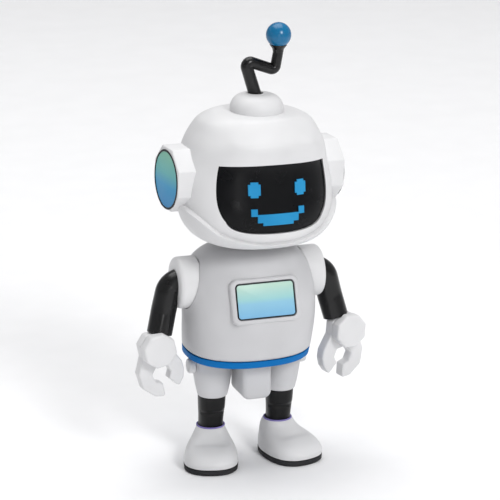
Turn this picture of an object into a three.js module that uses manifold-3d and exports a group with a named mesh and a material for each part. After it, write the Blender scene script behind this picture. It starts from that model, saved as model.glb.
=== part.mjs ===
// Small posable toy robot: domed helmet with a bent antenna, lit-face visor, barrel body,
// curved arms with claw hands, short legs and shoes. Millimetres, +Z up, facing -Y.
// The origin is on the floor under the middle of the figure; the robot's right side is at -X.
import * as THREE from 'three';
import { mergeVertices } from 'three/addons/utils/BufferGeometryUtils.js';
import Module from 'manifold-3d';

const wasm = await Module();
wasm.setup();

// ---- driving dimensions -------------------------------------------------------------------
const GAP = 0.3;                 // clearance between neighbouring pieces
const PRINT_GAP = 0.1;           // clearance under thin printed plates
const WALL = 1.4;                // casing wall thickness
const SQUARENESS = 2.35;         // how square the rounded sections are, 2 is an ellipse

const HEM_Z = 22.5;              // lower edge of the body casing
const HEM_HEIGHT = 1.5;
const SHOULDER = { x: 15.2, z: 38.6, radius: 5.2, width: 4.3 };
const NECK = { y: -0.5, z: 47.5, ball: 2.6, shaft: 1.7, flange: -4.9 };
const HEAD_POSE = { turn: 5, tilt: 1.8 };             // degrees, how the head is held
const EAR = {
  height: 12.3, radius: 6.72, root: 9.5, face: 17.9, disc: 5.5, ring: 5.95, podRise: 0.5, discRise: 0.25,
};
const SCREEN = { y: -11.35, z: 36.9, lean: 17, width: 11.4, height: 6.4 };
const BEZEL = { width: 14.3, height: 9.1, depth: 2.2, proud: 0.6 };
const PELVIS = { width: 6.1, low: 14.5, high: 27, front: -6.8, depth: 8.7 };
const HIP = { x: 7.25, y: 0.5, z: 20.7, axle: 0.9, cap: 1.55 };
const ANKLE = { x: 7.2, y: 2, z: 7.3, toeOut: 17 };
const HAND = { y: -2, z: 26.1, radius: 3.6, opening: 18 };
const ARM_RADIUS = 2.6;
const WRIST = { from: [17.6, -0.1, 33], to: [18.6, -0.7, 29] };   // the forearm's centre line
const MIDDLE_Y = 1.1;            // moves the figure so that its overall box is centred on Y = 0
// How each hand is held: how far out, and in degrees its lean and its turn about the vertical.
const HAND_POSE = { right: { x: 19.8, lean: -12, turn: 5 }, left: { x: 20.3, lean: 5, turn: 12 } };

// Half-width w and half-depth d about the centre line y, at each height z.
const BODY_SECTIONS = [
  { z: HEM_Z, y: 1.3, w: 12.55, d: 11.7 },
  { z: 26, y: 0.4, w: 12.9, d: 12 },
  { z: 31, y: -0.6, w: 13.15, d: 12.2 },
  { z: 35, y: -0.8, w: 13.2, d: 11.7 },
  { z: 39, y: -0.6, w: 12.8, d: 10.6 },
  { z: 42.3, y: -0.3, w: 11.8, d: 9.2 },
  { z: 44.4, y: -0.2, w: 9.8, d: 7.4 },
  { z: 45.4, y: -0.2, w: 7.6, d: 5.6 },
  { z: 45.7, y: -0.2, w: 5.8, d: 4.4 },
];
// The same for the head, with heights from the ear axis.
const HEAD_SECTIONS = [
  { z: -12.5, y: -3.2, w: 7, d: 6.2 },
  { z: -11.9, y: -3.4, w: 9.4, d: 8.2 },
  { z: -10.5, y: -3.6, w: 12, d: 10 },
  { z: -8, y: -3.4, w: 14.2, d: 11.2 },
  { z: -5, y: -2.2, w: 15.5, d: 12.5 },
  { z: -1, y: -1, w: 15.8, d: 13.1 },
  { z: 4, y: -1, w: 14.7, d: 12.5 },
  { z: 7.5, y: -1.45, w: 13.75, d: 12.05 },
  { z: 10, y: -1.45, w: 12.5, d: 10.85 },
  { z: 12, y: -1.6, w: 11.15, d: 9.2 },
  { z: 13.1, y: -1.8, w: 9, d: 7.8 },
  { z: 13.5, y: -1.75, w: 6.4, d: 5.95 },
];

const finish = (color, roughness, metalness = 0) =>
  new THREE.MeshStandardMaterial({ color, roughness, metalness });
const white = () => finish('#e9eaec', 0.55);
const black = () => finish('#101113', 0.25);
const blue = () => finish('#0b72c4', 0.4);
const cyan = () => finish('#3aa7e0', 0.45);

// ---- solids -------------------------------------------------------------------------------
const degrees = THREE.MathUtils.degToRad;

function toSolid(geometry) {
  const bare = geometry.clone();
  bare.deleteAttribute('normal');
  bare.deleteAttribute('uv');
  const merged = mergeVertices(bare, 1e-4);
  const points = merged.attributes.position.array;
  const index = merged.index.array;
  const triangles = [];
  for (let i = 0; i < index.length; i += 3) {
    const [a, b, c] = index.slice(i, i + 3);
    if (a !== b && b !== c && c !== a) triangles.push(a, b, c);
  }
  if (signedVolume(points, triangles) < 0) triangles.reverse();
  return new wasm.Manifold(new wasm.Mesh({
    numProp: 3,
    vertProperties: new Float32Array(points),
    triVerts: new Uint32Array(triangles),
  }));
}

function signedVolume(points, triangles) {
  const corner = (i) => new THREE.Vector3().fromArray(points, 3 * triangles[i]);
  let volume = 0;
  for (let i = 0; i < triangles.length; i += 3) {
    volume += corner(i).dot(corner(i + 1).cross(corner(i + 2)));
  }
  return volume;
}

function toGeometry(solid) {
  const mesh = solid.getMesh();
  const geometry = new THREE.BufferGeometry();
  geometry.setAttribute('position', new THREE.BufferAttribute(new Float32Array(mesh.vertProperties), 3));
  geometry.setIndex(new THREE.BufferAttribute(new Uint32Array(mesh.triVerts), 1));
  return geometry;
}

const combine = (how) => (first, ...others) =>
  toGeometry(others.reduce((solid, other) => solid[how](toSolid(other)), toSolid(first)));
const join = combine('add');
const cut = combine('subtract');
const common = combine('intersect');

// A rounded-square body through the sections, closed at both ends.
function loft(sections, rings = 10, around = 28) {
  const sizes = new THREE.CatmullRomCurve3(sections.map((s) => new THREE.Vector3(s.w, s.d, s.z)));
  const centres = new THREE.CatmullRomCurve3(sections.map((s) => new THREE.Vector3(0, s.y, s.z)));
  const profile = [new THREE.Vector2(0, 0)];
  for (let ring = 0; ring <= rings; ring += 1) profile.push(new THREE.Vector2(1, ring));
  profile.push(new THREE.Vector2(0, rings));
  const geometry = new THREE.LatheGeometry(profile, around);
  const position = geometry.attributes.position;
  for (let i = 0; i < position.count; i += 1) {
    const size = sizes.getPoint(position.getY(i) / rings);
    const centre = centres.getPoint(position.getY(i) / rings);
    const [c, s] = [position.getX(i), position.getZ(i)];
    const reach = (Math.abs(c) ** SQUARENESS + Math.abs(s) ** SQUARENESS) ** (-1 / SQUARENESS);
    const k = Math.hypot(c, s) < 0.5 ? 0 : reach;
    position.setXYZ(i, size.x * c * k, centre.y + size.y * s * k, size.z);
  }
  return geometry;
}

function grow(sections, by) {
  const low = sections[0].z;
  const high = sections[sections.length - 1].z;
  const middle = (low + high) / 2;
  const stretch = 1 + (2 * by) / (high - low);
  return sections.map((s) => ({
    z: middle + (s.z - middle) * stretch, y: s.y, w: s.w + by, d: s.d + by,
  }));
}

// A solid of revolution about Z from [radius, height] pairs.
function turned(pairs, around = 18) {
  const profile = pairs.map(([radius, height]) => new THREE.Vector2(radius, height));
  return new THREE.LatheGeometry(profile, around).rotateX(Math.PI / 2);
}

function rod(radius, from, to, around = 14) {
  const [start, end] = [new THREE.Vector3(...from), new THREE.Vector3(...to)];
  const axis = end.clone().sub(start);
  const geometry = new THREE.CylinderGeometry(radius, radius, axis.length(), around);
  const turn = new THREE.Quaternion().setFromUnitVectors(
    new THREE.Vector3(0, 1, 0), axis.clone().normalize(),
  );
  const middle = start.add(end).multiplyScalar(0.5);
  return geometry.applyQuaternion(turn).translate(middle.x, middle.y, middle.z);
}

// A plate from an outline drawn in X and Z, with its front face at y = front.
function plate(shape, front, thickness, bevel = 0, steps = 1) {
  const geometry = new THREE.ExtrudeGeometry(shape, {
    depth: thickness - 2 * bevel,
    bevelEnabled: bevel > 0,
    bevelThickness: bevel,
    bevelSize: bevel,
    bevelOffset: -bevel,
    bevelSegments: steps,
    curveSegments: 4,
  });
  return geometry.translate(0, 0, bevel).rotateX(Math.PI / 2)
    .translate(0, front + thickness, 0);
}

const box = (w, d, h, x, y, z) => new THREE.BoxGeometry(w, d, h).translate(x, y, z);

function polygon(radius, sides, turn = 0) {
  const corners = Array.from({ length: sides }, (_, i) => {
    const angle = ((i + turn) * 2 * Math.PI) / sides;
    return new THREE.Vector2(radius * Math.cos(angle), radius * Math.sin(angle));
  });
  return new THREE.Shape(corners);
}

function roundedRectangle(width, height, radius) {
  const [w, h] = [width / 2, height / 2];
  const shape = new THREE.Shape();
  shape.moveTo(-w + radius, -h);
  shape.lineTo(w - radius, -h);
  shape.absarc(w - radius, -h + radius, radius, -Math.PI / 2, 0);
  shape.lineTo(w, h - radius);
  shape.absarc(w - radius, h - radius, radius, 0, Math.PI / 2);
  shape.lineTo(-w + radius, h);
  shape.absarc(-w + radius, h - radius, radius, Math.PI / 2, Math.PI);
  shape.lineTo(-w, -h + radius);
  shape.absarc(-w + radius, -h + radius, radius, Math.PI, 1.5 * Math.PI);
  return shape;
}

function ring(outer, inner) {
  const shape = polygon(outer, 32);
  shape.holes.push(new THREE.Path(polygon(inner, 32).getPoints().reverse()));
  return shape;
}

function add(parent, name, geometry, material) {
  const mesh = new THREE.Mesh(toGeometry(toSolid(geometry)), material);
  mesh.name = name;
  parent.add(mesh);
  return mesh;
}

function place(parent, position = [0, 0, 0], turn = [0, 0, 0]) {
  const group = new THREE.Group();
  group.position.set(...position);
  group.rotation.set(...turn.map(degrees));
  parent.add(group);
  return group;
}

const SIDES = [{ side: 'right', s: -1 }, { side: 'left', s: 1 }];
const BIG = 60;                  // larger than the figure's width, for half-space cuts
const frontHalf = (y) => box(BIG, BIG, 2 * BIG, 0, y - BIG / 2, 0);
const backHalf = (y) => box(BIG, BIG, 2 * BIG, 0, y + BIG / 2, 0);

const robot = new THREE.Group();

// ---- body casing --------------------------------------------------------------------------
function leaning(geometry) {
  return geometry.rotateX(degrees(-SCREEN.lean)).translate(0, SCREEN.y, SCREEN.z);
}

function buildBody() {
  const outer = loft(BODY_SECTIONS);
  const low = HEM_Z + HEM_HEIGHT + GAP;
  const aboveHem = box(BIG, BIG, BIG, 0, 0, low + BIG / 2);
  const openBase = loft(grow(BODY_SECTIONS, -WALL).map((s, i) => (i ? s : { ...s, z: HEM_Z - 1 })));
  const pockets = SIDES.map(({ s }) => rod(
    SHOULDER.radius + GAP,
    [s * (SHOULDER.x - SHOULDER.width - GAP), 0, SHOULDER.z],
    [s * BIG / 2, 0, SHOULDER.z],
    32,
  ));
  const pegHoles = SIDES.map(({ s }) => rod(1.9, [s * 4, 0, SHOULDER.z], [s * 20, 0, SHOULDER.z]));
  const neckHole = rod(NECK.shaft + GAP, [0, NECK.y, 40], [0, NECK.y, 50]);
  const window = leaning(plate(
    roundedRectangle(BEZEL.width + 2 * GAP, BEZEL.height + 2 * GAP, 1.5), -4, 8,
  ));
  const casing = cut(common(outer, aboveHem), openBase, ...pockets, ...pegHoles, neckHole, window);
  add(robot, 'torso_front', common(casing, frontHalf(-GAP / 2)), white());
  add(robot, 'torso_back', common(casing, backHalf(GAP / 2)), white());

  const belowSeam = box(BIG, BIG, 20, 0, 0, HEM_Z + HEM_HEIGHT - 10);
  add(robot, 'hem_band', cut(common(outer, belowSeam), openBase), blue());
}

function buildScreen() {
  const surface = -BEZEL.proud;
  const opening = roundedRectangle(SCREEN.width + 0.9, SCREEN.height + 0.9, 0.9);
  const bezel = roundedRectangle(BEZEL.width, BEZEL.height, 1.3);
  add(robot, 'screen_bezel', cut(
    leaning(plate(bezel, surface, BEZEL.depth, 0.35)),
    leaning(plate(opening, surface - 1, 1 + 0.7)),
  ), white());

  const frame = roundedRectangle(SCREEN.width + 0.7, SCREEN.height + 0.7, 0.8);
  const glass = roundedRectangle(SCREEN.width, SCREEN.height, 0.6);
  frame.holes.push(new THREE.Path(glass.getPoints(4).reverse()));
  add(robot, 'screen_frame', leaning(plate(frame, surface + 0.1, 0.5)), black());
  const panel = roundedRectangle(SCREEN.width - 0.2, SCREEN.height - 0.2, 0.5);
  add(robot, 'screen_panel', leaning(plate(panel, surface + 0.12, 0.45)), cyan());
}

function buildPelvis() {
  const { width, low, high, front, depth } = PELVIS;
  const block = plate(roundedRectangle(width, high - low, 1.3), front, depth, 0.6, 2)
    .translate(0, 0, (low + high) / 2);
  const axle = [[-11, HIP.y, HIP.z], [11, HIP.y, HIP.z]];
  add(robot, 'pelvis_block', cut(block, rod(HIP.axle + GAP, ...axle)), white());
  add(robot, 'hip_axle', rod(HIP.axle, ...axle), finish('#8d9094', 0.35, 0.9));
}

// ---- head ---------------------------------------------------------------------------------
function visorOutline(margin = 0) {
  const [w, top, low] = [10.9 + margin, 4.7 + margin, -8.3 - margin];
  const shape = new THREE.Shape();
  shape.moveTo(-w, top);
  shape.quadraticCurveTo(0, top + 0.6, w, top);
  shape.bezierCurveTo(w + 1, top - 5, w + 1, top - 8.5, w - 0.8, low + 2.6);
  shape.bezierCurveTo(w - 1.6, low + 0.5, w - 5, low, 0, low);
  shape.bezierCurveTo(5 - w, low, 1.6 - w, low + 0.5, 0.8 - w, low + 2.6);
  shape.bezierCurveTo(-w - 1, top - 8.5, -w - 1, top - 5, -w, top);
  return shape;
}

// Everything below the chin guard's upper seam, which dips under the visor.
function guardOutline() {
  const shape = new THREE.Shape();
  shape.moveTo(-20, -22);
  shape.lineTo(20, -22);
  shape.lineTo(20, -1.8);
  shape.lineTo(16.6, -2.8);
  shape.bezierCurveTo(14, -5.4, 12.5, -7, 10.8, -8.3);
  shape.bezierCurveTo(8, -10, 5, -10.4, 0, -10.4);
  shape.bezierCurveTo(-5, -10.4, -8, -10, -10.8, -8.3);
  shape.bezierCurveTo(-12.5, -7, -14, -5.4, -16.6, -2.8);
  shape.lineTo(-20, -1.8);
  return shape;
}

function buildHelmet(head) {
  const outer = loft(HEAD_SECTIONS);
  const inner = loft(grow(HEAD_SECTIONS, -WALL));
  const neckHole = rod(4.4, [0, 0, -20], [0, 0, -8]);
  const antennaHole = rod(ANTENNA.bore, [0, ANTENNA.y, 9], [0, ANTENNA.y, 17]);
  const visorHole = plate(visorOutline(GAP), -20, 19);
  const shell = cut(outer, inner, neckHole, antennaHole);
  add(head, 'helmet_front', cut(common(shell, frontHalf(-GAP / 2)), visorHole), white());
  add(head, 'helmet_back', common(shell, backHalf(GAP / 2)), white());

  const lens = cut(loft(grow(HEAD_SECTIONS, -0.3)), loft(grow(HEAD_SECTIONS, -WALL)));
  add(head, 'visor', common(lens, plate(visorOutline(), -20, 18)), black());

  const band = cut(loft(grow(HEAD_SECTIONS, 0.9)), loft(grow(HEAD_SECTIONS, GAP / 2)), neckHole);
  const jaw = common(band, plate(guardOutline(), -20, 17.5));
  const earRoom = plate(polygon(EAR.radius + GAP, 8, 0.5), -20, 40).rotateZ(Math.PI / 2)
    .translate(0, 0, EAR.podRise);
  const underside = box(BIG, BIG, 20, 0, 0, HEAD_SECTIONS[0].z - 10);
  add(head, 'chin_guard', cut(jaw, earRoom, underside), white());
}

// Face marks are thin plates that follow the visor.
function buildFace(head) {
  const skin = cut(
    loft(grow(HEAD_SECTIONS, 0)), loft(grow(HEAD_SECTIONS, -0.3 + PRINT_GAP / 2)),
  );
  const mark = (name, shape) => {
    add(head, name, common(skin, plate(shape, -20, 18)), cyan());
  };
  for (const { side, s } of SIDES) {
    mark(`eye_${side}`, steppedOval(s * 4.85, 0.4, 1.2, 1.5));
  }
  mark('smile', pixelSmile());
}

function steppedOval(x, z, w, h) {
  const step = 0.45;
  const corners = [
    [w - step, -h], [w - step, step - h], [w, step - h], [w, h - step], [w - step, h - step],
    [w - step, h],
  ];
  const mirrored = corners.slice().reverse().map(([a, b]) => [-a, b]);
  return new THREE.Shape([...corners, ...mirrored].map(([a, b]) => new THREE.Vector2(x + a, z + b)));
}

function pixelSmile() {
  const half = [
    [3.2, -6.7], [3.2, -6], [4.3, -6], [4.3, -4.7], [5.6, -4.7], [5.6, -3.3], [4.35, -3.3],
    [4.35, -4.4],
  ];
  const mirrored = half.slice().reverse().map(([x, z]) => [-x, z]);
  return new THREE.Shape([...half, ...mirrored].map(([x, z]) => new THREE.Vector2(x, z)));
}

function buildEars(head) {
  const clearance = loft(grow(HEAD_SECTIONS, GAP));
  for (const { side, s } of SIDES) {
    const outward = (geometry, rise) => geometry.rotateZ(s * Math.PI / 2).translate(0, 0, rise);
    const podFace = EAR.face - 0.4;
    const pod = outward(
      plate(polygon(EAR.radius, 8, 0.5), -podFace, podFace - EAR.root, 0.5), EAR.podRise,
    );
    add(head, `ear_pod_${side}`, cut(pod, clearance), white());
    const printFace = -EAR.face;
    const disc = outward(plate(polygon(EAR.disc, 32), printFace, 0.3), EAR.discRise);
    const rim = outward(
      plate(ring(EAR.ring, EAR.disc + PRINT_GAP), printFace, 0.3), EAR.discRise,
    );
    add(head, `ear_disc_${side}`, disc, cyan());
    add(head, `ear_ring_${side}`, rim, black());
  }
}

const ANTENNA = { y: -1.6, base: 16.4, bore: 1.6 };
const BOSS = { y: -2.4, radius: 5.3, rise: 16.9 };

function buildAntenna(head) {
  const clearance = loft(grow(HEAD_SECTIONS, GAP));
  const { radius, rise } = BOSS;
  const boss = turned([
    [0, 10], [radius, 10], [radius, rise - 2.4], [radius - 0.7, rise - 1], [radius - 2.2, rise],
    [0, rise],
  ], 28).translate(0, BOSS.y, 0);
  const bore = rod(ANTENNA.bore, [0, ANTENNA.y, 9], [0, ANTENNA.y, 18]);
  add(head, 'antenna_boss', cut(boss, clearance, bore), white());

  const route = [[0, -4.3], [0, 0], [-2.5, 7.1], [4, 4.8], [4.6, 8]];
  const radii = [1.2, 1.15, 1.05, 0.9];          // of the link that ends at each later point
  const points = route.map(([x, z]) => [x, ANTENNA.y, ANTENNA.base + z]);
  const links = points.slice(1).map((end, i) => rod(radii[i], points[i], end, 10));
  const knuckles = points.slice(2, -1).map(([x, y, z], i) =>
    new THREE.SphereGeometry(radii[i + 1] * 1.1, 10, 8).translate(x, y, z));
  add(head, 'antenna_stalk', join(...links, ...knuckles), black());

  const top = points[points.length - 1];
  const cup = turned([[0, 0], [0.95, 0], [1.15, 0.8], [1.7, 1.5], [0, 1.5]], 16);
  cup.translate(top[0], top[1], top[2] + 3 * PRINT_GAP);
  add(head, 'antenna_cup', cup, black());
  const ball = new THREE.SphereGeometry(2.5, 16, 10).translate(top[0], top[1], top[2] + 3.8);
  add(head, 'antenna_ball', cut(ball, cup.clone().translate(0, 0, PRINT_GAP)), blue());
}

function buildHead() {
  const turn = place(robot, [0, NECK.y, NECK.z], [0, 0, HEAD_POSE.turn]);
  const ball = new THREE.SphereGeometry(NECK.ball, 12, 8);
  const shaft = rod(NECK.shaft, [0, 0, NECK.flange], [0, 0, -1]);
  const flange = rod(3, [0, 0, NECK.flange], [0, 0, NECK.flange + 1.3]);
  add(turn, 'neck_peg', join(ball, shaft, flange), white());

  const cupBody = turned([[0, -1.2], [3.9, -1.2], [3.9, 4.2], [0, 4.2]]);
  const hollow = new THREE.SphereGeometry(NECK.ball + GAP, 12, 8);
  add(turn, 'neck_socket', cut(cupBody, hollow, rod(2.5, [0, 0, -3], [0, 0, 0])), white());

  const tilt = place(turn, [0, 0, 0], [0, HEAD_POSE.tilt, 0]);
  const head = place(tilt, [0, 0, EAR.height]);
  buildHelmet(head);
  buildFace(head);
  buildEars(head);
  buildAntenna(head);
}

// ---- arms ---------------------------------------------------------------------------------
function buildArm({ side, s }) {
  const inner = SHOULDER.x - SHOULDER.width;
  const lip = 0.5;
  const r = SHOULDER.radius;
  const cap = turned([
    [0, 6], [1.6, 6], [1.6, inner], [r, inner], [r, SHOULDER.x - lip], [r - lip, SHOULDER.x],
    [0, SHOULDER.x],
  ], 32).rotateY(s * Math.PI / 2).translate(0, 0, SHOULDER.z);
  add(robot, `shoulder_cap_${side}`, cap, white());

  const start = SHOULDER.x + PRINT_GAP;
  const route = new THREE.CatmullRomCurve3([
    new THREE.Vector3(s * start, 0, SHOULDER.z + 0.3),
    new THREE.Vector3(s * (start + 1.2), 0, SHOULDER.z - 0.4),
    new THREE.Vector3(s * 17, 0, 36),
    alongWrist(s, 0),
    alongWrist(s, 1),
  ]);
  const section = polygon(ARM_RADIUS, 14);
  const tube = new THREE.ExtrudeGeometry(section, { steps: 9, extrudePath: route });
  const clearOfCap = box(20, 20, 40, s * (start + 10), 0, 30);
  const bore = rod(1.4, alongWrist(s, 0.3).toArray(), alongWrist(s, 2).toArray());
  add(robot, `arm_${side}`, cut(common(tube, clearOfCap), bore), black());

  buildHand({ side, s });
}

// A point on the forearm's centre line, 0 at its start and 1 at its end.
function alongWrist(s, t) {
  const [from, to] = [WRIST.from, WRIST.to].map(([x, y, z]) => new THREE.Vector3(s * x, y, z));
  return from.lerp(to, t);
}

// A C whose opening, and so the longer finger's end, is turned by some degrees towards the body.
function clawOutline(opening) {
  const centre = { x: 0, z: -5.7 };
  const shape = new THREE.Shape();
  const at = (radius, angle) => [
    centre.x + radius * Math.sin(degrees(angle)), centre.z - radius * Math.cos(degrees(angle)),
  ];
  shape.moveTo(-3.2, -1.2);
  const outer = [-105, -75 + opening / 2, -45 + opening, -20 + opening];
  const inner = [-22, -65, -115, -180, 115, 65, 22].map((angle) => angle + opening);
  const far = [20 + opening, 45 + opening, 75 + opening / 2, 105];
  for (const angle of outer) shape.lineTo(...at(4.9, angle));
  for (const angle of inner) shape.lineTo(...at(2, angle));
  for (const angle of far) shape.lineTo(...at(4.9, angle));
  shape.lineTo(3.2, -1.2);
  shape.lineTo(3.2, 1.4);
  shape.lineTo(1.5, 3.1);
  shape.lineTo(-1.5, 3.1);
  shape.lineTo(-3.2, 1.4);
  return shape;
}

function buildHand({ side, s }) {
  const pose = HAND_POSE[side];
  const turn = place(robot, [s * pose.x, HAND.y, HAND.z], [0, 0, pose.turn]);
  const hand = place(turn, [0, 0, 0], [0, pose.lean, 0]);
  const front = -2.8;
  const plateThickness = 2.6;
  const palmThickness = 2.6;
  hand.updateWorldMatrix(true, false);
  const fromRobot = hand.matrixWorld.clone().invert();
  const pegLine = [alongWrist(s, 0.4).toArray(), alongWrist(s, 1.5).toArray()];
  const peg = rod(1.1, ...pegLine).applyMatrix4(fromRobot);
  const pegBore = rod(1.4, ...pegLine).applyMatrix4(fromRobot);
  const armClear = rod(ARM_RADIUS + GAP + 0.2, alongWrist(s, -1).toArray(),
    alongWrist(s, 1.12).toArray()).applyMatrix4(fromRobot);
  const hub = plate(polygon(HAND.radius, 8, 0.5), front, plateThickness, 0.4);
  const claw = plate(clawOutline(-s * HAND.opening), front + plateThickness + PRINT_GAP, palmThickness, 0.35, 1);
  add(hand, `hand_hub_${side}`, cut(hub, pegBore, armClear), white());
  add(hand, `claw_${side}`, cut(claw, pegBore, armClear), white());
  add(hand, `wrist_peg_${side}`, peg, black());
}

// ---- legs ---------------------------------------------------------------------------------
function buildLeg({ side, s }) {
  const leg = place(robot, [s * HIP.x, HIP.y, 0]);
  const thigh = turned([
    [0, 14.1], [2.75, 14.1], [3.05, 14.4], [3.6, 16.8], [4, 19.4], [4, 21.6], [3.5, 23.4],
    [2, 24.6], [0, 24.8],
  ]);
  const axleBore = rod(HIP.axle + GAP, [-6, 0, HIP.z], [6, 0, HIP.z]);
  const spigot = [[0, 0.3, 12], [0, 0.3, 17.2]];
  add(leg, `thigh_${side}`, cut(thigh, axleBore, rod(1.8, spigot[0], [0, 0.3, 17.5])), white());

  const back = ANKLE.y - HIP.y;
  const calf = loft([
    { z: ANKLE.z, y: back, w: 2.4, d: 2.4 },
    { z: 9.4, y: back - 0.4, w: 2.5, d: 2.5 },
    { z: 11.4, y: 0.7, w: 2.7, d: 2.7 },
    { z: 13.8, y: 0.4, w: 2.85, d: 2.85 },
  ], 4, 18);
  const anklePeg = rod(1.4, [0, back, 3.6], [0, back, 9]);
  add(leg, `shin_${side}`, join(calf, rod(1.4, ...spigot), anklePeg), black());

  const cap = turned([
    [0, 4.15], [HIP.cap, 4.15], [HIP.cap, 4.9], [HIP.cap - 0.4, 5.2], [0, 5.3],
  ], 20)
    .rotateY(s * Math.PI / 2).translate(0, 0, HIP.z);
  add(leg, `hip_cap_${side}`, cap, white());

  buildShoe({ side, s });
}

function buildShoe({ side, s }) {
  const foot = place(robot, [s * ANKLE.x, ANKLE.y, 0], [0, 0, s * ANKLE.toeOut]);
  const upper = [
    { z: 1.3, y: -3.5, w: 5.3, d: 7.6 },
    { z: 2.4, y: -3.5, w: 5.3, d: 7.6 },
    { z: 3.6, y: -3, w: 5, d: 7 },
    { z: 4.5, y: -2, w: 4.5, d: 6 },
    { z: 5.3, y: -0.6, w: 4, d: 4.5 },
    { z: 6.2, y: 0, w: 3.5, d: 3.7 },
    { z: 7, y: 0.1, w: 3.15, d: 3.1 },
  ];
  const shoe = widerAtToe(loft(upper, 7, 26));
  const bore = turned([
    [0, 3.2], [1.8, 3.2], [1.8, 6.5], [2.75, 6.5], [2.75, 9], [0, 9],
  ]);
  add(foot, `shoe_${side}`, cut(shoe, bore), white());

  const sole = [{ z: 0, y: -3.5, w: 5.25, d: 7.55 }, { z: 1.1, y: -3.5, w: 5.3, d: 7.6 }];
  add(foot, `sole_${side}`, widerAtToe(loft(sole, 1, 26)), finish('#1c1d1f', 0.7));

  const cuff = turned([[2.65, 7.1], [3.05, 7.1], [3.05, 7.5], [2.65, 7.5], [2.65, 7.1]], 20);
  add(foot, `ankle_ring_${side}`, cuff, finish('#7a63c8', 0.5));
}

function widerAtToe(geometry) {
  const position = geometry.attributes.position;
  for (let i = 0; i < position.count; i += 1) {
    const y = position.getY(i);
    position.setX(i, position.getX(i) * (1 - 0.025 * (y + 3.5)));
  }
  return geometry;
}

buildBody();
buildScreen();
buildPelvis();
buildHead();
SIDES.forEach(buildArm);
SIDES.forEach(buildLeg);
robot.position.y = MIDDLE_Y;

export default robot;
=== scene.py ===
"""Looks of a small posable toy robot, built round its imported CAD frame.

The helpers work in millimetres and `finished` turns a piece into metres. +Z is up, the robot
faces -Y and its right side is at -X. Sizes repeat the frame's driving dimensions.
"""

import math

import bmesh
import bpy
from mathutils import Matrix, Vector

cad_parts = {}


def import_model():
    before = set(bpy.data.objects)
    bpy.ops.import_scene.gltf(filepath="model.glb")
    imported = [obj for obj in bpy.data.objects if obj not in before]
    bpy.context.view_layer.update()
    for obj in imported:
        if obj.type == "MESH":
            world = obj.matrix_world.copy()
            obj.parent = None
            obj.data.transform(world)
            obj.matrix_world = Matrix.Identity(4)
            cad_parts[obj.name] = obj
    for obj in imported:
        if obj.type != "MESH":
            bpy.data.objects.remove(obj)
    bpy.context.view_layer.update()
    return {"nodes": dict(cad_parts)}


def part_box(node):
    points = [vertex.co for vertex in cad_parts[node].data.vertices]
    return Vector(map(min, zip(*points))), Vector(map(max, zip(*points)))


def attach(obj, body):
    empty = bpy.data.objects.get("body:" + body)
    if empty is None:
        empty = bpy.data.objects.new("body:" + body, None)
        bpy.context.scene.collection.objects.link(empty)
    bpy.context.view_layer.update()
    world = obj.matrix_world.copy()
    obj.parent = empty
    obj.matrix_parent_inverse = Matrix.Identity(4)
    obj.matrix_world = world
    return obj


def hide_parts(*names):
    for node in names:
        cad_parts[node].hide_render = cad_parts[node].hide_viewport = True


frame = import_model()
collection = bpy.context.scene.collection

# ---- driving dimensions, in millimetres ----------------------------------------------------
MM = 0.001
GAP = 0.15                       # clearance seen between neighbouring pieces
WALL = 1.4                       # casing wall thickness
SQUARENESS = 2.35                # how square the rounded sections are, 2 is an ellipse
MIDDLE_Y = 1.1                   # the figure's centre line is this far behind Y = 0
AROUND, ROUND = 144, 128         # points round a casing, and round a smaller turned piece
FAR, AHEAD = 30, -20             # well to the side and well in front, for cutting tools

HEM_Z, HEM_TOP, CASING_LOW = 22.5, 24.0, 24.2
SHOULDER_Z, SHOULDER_FACE, SHOULDER_BACK, SHOULDER_RADIUS = 38.6, 15.2, 10.9, 5.2
NECK_Y, NECK_Z = -0.5, 47.5
HEAD_TURN, HEAD_TILT = 5, 1.8    # degrees
EAR_HEIGHT, EAR_RADIUS, EAR_FACE, POD_RISE, DISC_RISE = 12.3, 6.72, 17.85, 0.5, 0.25
DISC_RADIUS, RIM_RADIUS, DISC_FACE = 5.5, 5.95, 17.9
SCREEN_Y, SCREEN_Z, SCREEN_LEAN = -11.35, 36.9, 17
BEZEL_WIDTH, BEZEL_HEIGHT, BEZEL_PROUD = 14.3, 9.1, 0.6
SCREEN_WIDTH, SCREEN_HEIGHT = 11.4, 6.4
HIP_X, HIP_Y, HIP_Z = 7.25, 0.5, 20.7
ANKLE_X, ANKLE_Y, TOE_OUT = 7.2, 2, 17
HAND_Y, HAND_Z, HUB_RADIUS = -2, 26.1, 3.6
HAND_POSE = {"right": (19.8, -12, 5), "left": (20.3, 5, 12)}     # how far out; lean and turn in degrees
CLAW_OPENING = 18                # degrees the claw's opening is turned towards the body
ARM_RADIUS, ELBOW_RADIUS = 2.6, 3.0
WRIST_FROM, WRIST_TO = (17.6, -0.1, 33), (18.6, -0.7, 29)
ANTENNA_Y, ANTENNA_BASE, ANTENNA_BORE = -1.6, 16.4, 1.6
BOSS_Y, BOSS_RADIUS, BOSS_TOP = -2.4, 5.3, 16.9

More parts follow.
